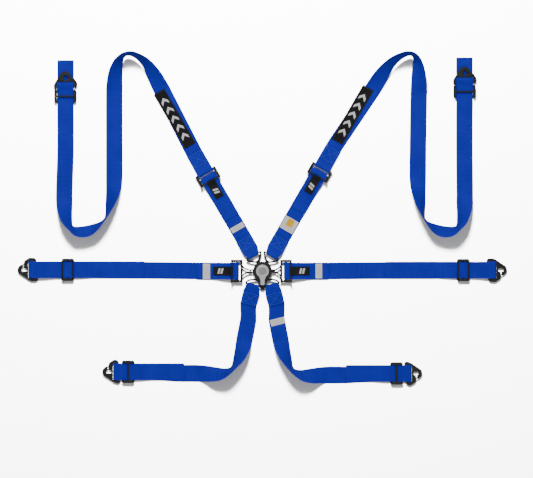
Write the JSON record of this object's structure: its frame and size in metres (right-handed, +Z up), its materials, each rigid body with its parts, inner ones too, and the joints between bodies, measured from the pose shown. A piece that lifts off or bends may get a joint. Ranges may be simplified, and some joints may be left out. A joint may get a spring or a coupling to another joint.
{
  "type": "racing harness",
  "caption": "Multi-strap racing harness of blue webbing with a cam-lock buckle, lap and shoulder adjusters, slides and snap-hook brackets, laid out open on its back.",
  "frame": {"origin": "centre of the underside of the cam buckle's base plate, on the surface the harness lies on", "axes": "+X along the right lap strap, +Y from the buckle towards the shoulder straps, +Z up off the surface"},
  "size_m": [1.468, 0.9983, 0.0592],
  "materials": {
    "webbing": "woven polyester webbing, royal blue with a denser edge band",
    "hardware": "satin black coated steel",
    "housing": "satin black moulding",
    "lever": "matt satin cast lever",
    "steel": "plain steel",
    "tab": "black woven tab",
    "patch": "black woven patch",
    "label": "white woven label"
  },
  "bodies": {
    "buckle": {"base_plate": "steel", "housing": "housing", "housing_cover": "housing", "housing_rivets": "hardware", "lever_spring": "steel", "lap_frame_left": "hardware", "lap_web_left": "webbing", "label_lap_left": "label"},
    "lever": {"spindle": "steel", "cam_plate": "steel", "release_lever": "lever", "lever_cap": "lever"},
    "latch": {"latch_pins": "steel", "pin_springs": "steel"},
    "lap_right": {"lap_frame_right": "hardware", "lap_web_right": "webbing", "label_lap_right": "label"},
    "shoulder_left": {"shoulder_tongue_left": "hardware", "shoulder_short_web_left": "webbing", "shoulder_long_web_left": "webbing", "shoulder_adjuster_left": "hardware", "patch_left": "patch", "label_shoulder_left": "label"},
    "crotch_left": {"crotch_tongue_left": "hardware", "crotch_web_left": "webbing"},
    "shoulder_right": {"shoulder_tongue_right": "hardware", "shoulder_short_web_right": "webbing", "shoulder_long_web_right": "webbing", "shoulder_adjuster_right": "hardware", "patch_right": "patch", "label_shoulder_right": "label"},
    "crotch_right": {"crotch_tongue_right": "hardware", "crotch_web_right": "webbing", "label_crotch_right": "label"},
    "slide_lap_left": {"slide_lap_left": "hardware"},
    "bracket_lap_left": {"bracket_lap_left": "hardware"},
    "gate_lap_left": {"gate_lap_left": "hardware"},
    "slide_lap_right": {"slide_lap_right": "hardware"},
    "bracket_lap_right": {"bracket_lap_right": "hardware"},
    "gate_lap_right": {"gate_lap_right": "hardware"},
    "slide_shoulder_left": {"slide_shoulder_left": "hardware"},
    "bracket_shoulder_left": {"bracket_shoulder_left": "hardware"},
    "gate_shoulder_left": {"gate_shoulder_left": "hardware"},
    "slide_shoulder_right": {"slide_shoulder_right": "hardware"},
    "bracket_shoulder_right": {"bracket_shoulder_right": "hardware"},
    "gate_shoulder_right": {"gate_shoulder_right": "hardware"},
    "slide_crotch_left": {"slide_crotch_left": "hardware"},
    "bracket_crotch_left": {"bracket_crotch_left": "hardware"},
    "gate_crotch_left": {"gate_crotch_left": "hardware"},
    "slide_crotch_right": {"slide_crotch_right": "hardware"},
    "bracket_crotch_right": {"bracket_crotch_right": "hardware"},
    "gate_crotch_right": {"gate_crotch_right": "hardware"},
    "bar_lap_left": {"lap_bar_left": "hardware"},
    "tab_lap_left": {"lap_tab_left": "tab"},
    "bar_lap_right": {"lap_bar_right": "hardware"},
    "tab_lap_right": {"lap_tab_right": "tab"},
    "bar_shoulder_left": {"shoulder_bar_left": "hardware"},
    "tab_shoulder_left": {"shoulder_tab_left": "tab"},
    "bar_shoulder_right": {"shoulder_bar_right": "hardware"},
    "tab_shoulder_right": {"shoulder_tab_right": "tab"}
  },
  "joints": [
    {"name": "lever_turn", "type": "hinge", "parent": "buckle", "child": "lever", "pos_m": [0, 0, 0.02], "axis": [0, 0, 1], "range_deg": [0, 45], "stiffness_Nm_per_rad": 0.3},
    {"name": "latch_lift", "type": "slide", "parent": "buckle", "child": "latch", "axis": [0, 0, 1], "range_m": [0, 0.003], "deforming": ["pin_springs"]},
    {"name": "lap_right_tongue_release", "type": "slide", "parent": "buckle", "child": "lap_right", "axis": [1, 0, 0], "range_m": [0, 0.03]},
    {"name": "shoulder_left_tongue_release", "type": "slide", "parent": "buckle", "child": "shoulder_left", "axis": [-0.5, 0.866, 0], "range_m": [0, 0.03]},
    {"name": "shoulder_right_tongue_release", "type": "slide", "parent": "buckle", "child": "shoulder_right", "axis": [0.5, 0.866, 0], "range_m": [0, 0.03]},
    {"name": "crotch_left_tongue_release", "type": "slide", "parent": "buckle", "child": "crotch_left", "axis": [-0.5, -0.866, 0], "range_m": [0, 0.03]},
    {"name": "crotch_right_tongue_release", "type": "slide", "parent": "buckle", "child": "crotch_right", "axis": [0.5, -0.866, 0], "range_m": [0, 0.03]},
    {"name": "lap_left_slide_shift", "type": "slide", "parent": "buckle", "child": "slide_lap_left", "axis": [-1, 0, 0], "range_m": [-0.015, 0.015]},
    {"name": "lap_left_bracket_swing", "type": "hinge", "parent": "buckle", "child": "bracket_lap_left", "pos_m": [-0.697, 0.004, 0.0053], "axis": [0, 1, 0], "range_deg": [0, 90]},
    {"name": "lap_left_gate_swing", "type": "hinge", "parent": "bracket_lap_left", "child": "gate_lap_left", "pos_m": [-0.7075, 0.028, 0.0073], "axis": [0, 0, 1], "range_deg": [0, 40], "stiffness_Nm_per_rad": 0.02},
    {"name": "lap_right_slide_shift", "type": "slide", "parent": "lap_right", "child": "slide_lap_right", "axis": [1, 0, 0], "range_m": [-0.015, 0.015]},
    {"name": "lap_right_bracket_swing", "type": "hinge", "parent": "lap_right", "child": "bracket_lap_right", "pos_m": [0.696, 0.003, 0.0053], "axis": [0, -1, 0], "range_deg": [0, 90]},
    {"name": "lap_right_gate_swing", "type": "hinge", "parent": "bracket_lap_right", "child": "gate_lap_right", "pos_m": [0.7065, -0.021, 0.0073], "axis": [0, 0, 1], "range_deg": [0, 40], "stiffness_Nm_per_rad": 0.02},
    {"name": "shoulder_left_slide_shift", "type": "slide", "parent": "shoulder_left", "child": "slide_shoulder_left", "axis": [0, 1, 0], "range_m": [-0.015, 0]},
    {"name": "shoulder_left_bracket_swing", "type": "hinge", "parent": "shoulder_left", "child": "bracket_shoulder_left", "pos_m": [-0.591, 0.561, 0.0072], "axis": [1, 0, 0], "range_deg": [0, 90]},
    {"name": "shoulder_left_gate_swing", "type": "hinge", "parent": "bracket_shoulder_left", "child": "gate_shoulder_left", "pos_m": [-0.567, 0.5715, 0.0092], "axis": [0, 0, 1], "range_deg": [0, 40], "stiffness_Nm_per_rad": 0.02},
    {"name": "shoulder_right_slide_shift", "type": "slide", "parent": "shoulder_right", "child": "slide_shoulder_right", "axis": [0, 1, 0], "range_m": [-0.015, 0]},
    {"name": "shoulder_right_bracket_swing", "type": "hinge", "parent": "shoulder_right", "child": "bracket_shoulder_right", "pos_m": [0.606, 0.575, 0.0072], "axis": [1, 0, 0], "range_deg": [0, 90]},
    {"name": "shoulder_right_gate_swing", "type": "hinge", "parent": "bracket_shoulder_right", "child": "gate_shoulder_right", "pos_m": [0.63, 0.5855, 0.0092], "axis": [0, 0, 1], "range_deg": [0, 40], "stiffness_Nm_per_rad": 0.02},
    {"name": "crotch_left_slide_shift", "type": "slide", "parent": "crotch_left", "child": "slide_crotch_left", "axis": [-1, 0, 0], "range_m": [-0.015, 0.002]},
    {"name": "crotch_left_bracket_swing", "type": "hinge", "parent": "crotch_left", "child": "bracket_crotch_left", "pos_m": [-0.443, -0.302, 0.0053], "axis": [0, 1, 0], "range_deg": [0, 90]},
    {"name": "crotch_left_gate_swing", "type": "hinge", "parent": "bracket_crotch_left", "child": "gate_crotch_left", "pos_m": [-0.4535, -0.278, 0.0073], "axis": [0, 0, 1], "range_deg": [0, 40], "stiffness_Nm_per_rad": 0.02},
    {"name": "crotch_right_slide_shift", "type": "slide", "parent": "crotch_right", "child": "slide_crotch_right", "axis": [1, 0, 0], "range_m": [-0.015, 0.002]},
    {"name": "crotch_right_bracket_swing", "type": "hinge", "parent": "crotch_right", "child": "bracket_crotch_right", "pos_m": [0.442, -0.307, 0.0053], "axis": [0, -1, 0], "range_deg": [0, 90]},
    {"name": "crotch_right_gate_swing", "type": "hinge", "parent": "bracket_crotch_right", "child": "gate_crotch_right", "pos_m": [0.4525, -0.331, 0.0073], "axis": [0, 0, 1], "range_deg": [0, 40], "stiffness_Nm_per_rad": 0.02},
    {"name": "lap_left_bar_float", "type": "slide", "parent": "buckle", "child": "bar_lap_left", "axis": [-1, 0, 0], "range_m": [0, 0.0025]},
    {"name": "lap_left_tab_lift", "type": "hinge", "parent": "buckle", "child": "tab_lap_left", "pos_m": [-0.092, 0, 0.0187], "axis": [0, 1, 0], "range_deg": [0, 100]},
    {"name": "lap_right_bar_float", "type": "slide", "parent": "lap_right", "child": "bar_lap_right", "axis": [1, 0, 0], "range_m": [0, 0.0025]},
    {"name": "lap_right_tab_lift", "type": "hinge", "parent": "lap_right", "child": "tab_lap_right", "pos_m": [0.085, 0, 0.0187], "axis": [0, -1, 0], "range_deg": [0, 100]},
    {"name": "shoulder_left_bar_float", "type": "slide", "parent": "shoulder_left", "child": "bar_shoulder_left", "axis": [0.5, -0.866, 0], "range_m": [0, 0.0025]},
    {"name": "shoulder_left_tab_lift", "type": "hinge", "parent": "shoulder_left", "child": "tab_shoulder_left", "pos_m": [-0.1555, 0.26933, 0.0159], "axis": [-0.866, -0.5, 0], "range_deg": [0, 100]},
    {"name": "shoulder_right_bar_float", "type": "slide", "parent": "shoulder_right", "child": "bar_shoulder_right", "axis": [-0.5, -0.866, 0], "range_m": [0, 0.0025]},
    {"name": "shoulder_right_tab_lift", "type": "hinge", "parent": "shoulder_right", "child": "tab_shoulder_right", "pos_m": [0.1635, 0.28319, 0.0159], "axis": [-0.866, 0.5, 0], "range_deg": [0, 100]}
  ],
  "couplings": [
    {"joint": "latch_lift", "follows": "lever_turn", "m_per_rad": 0.0036924}
  ]
}
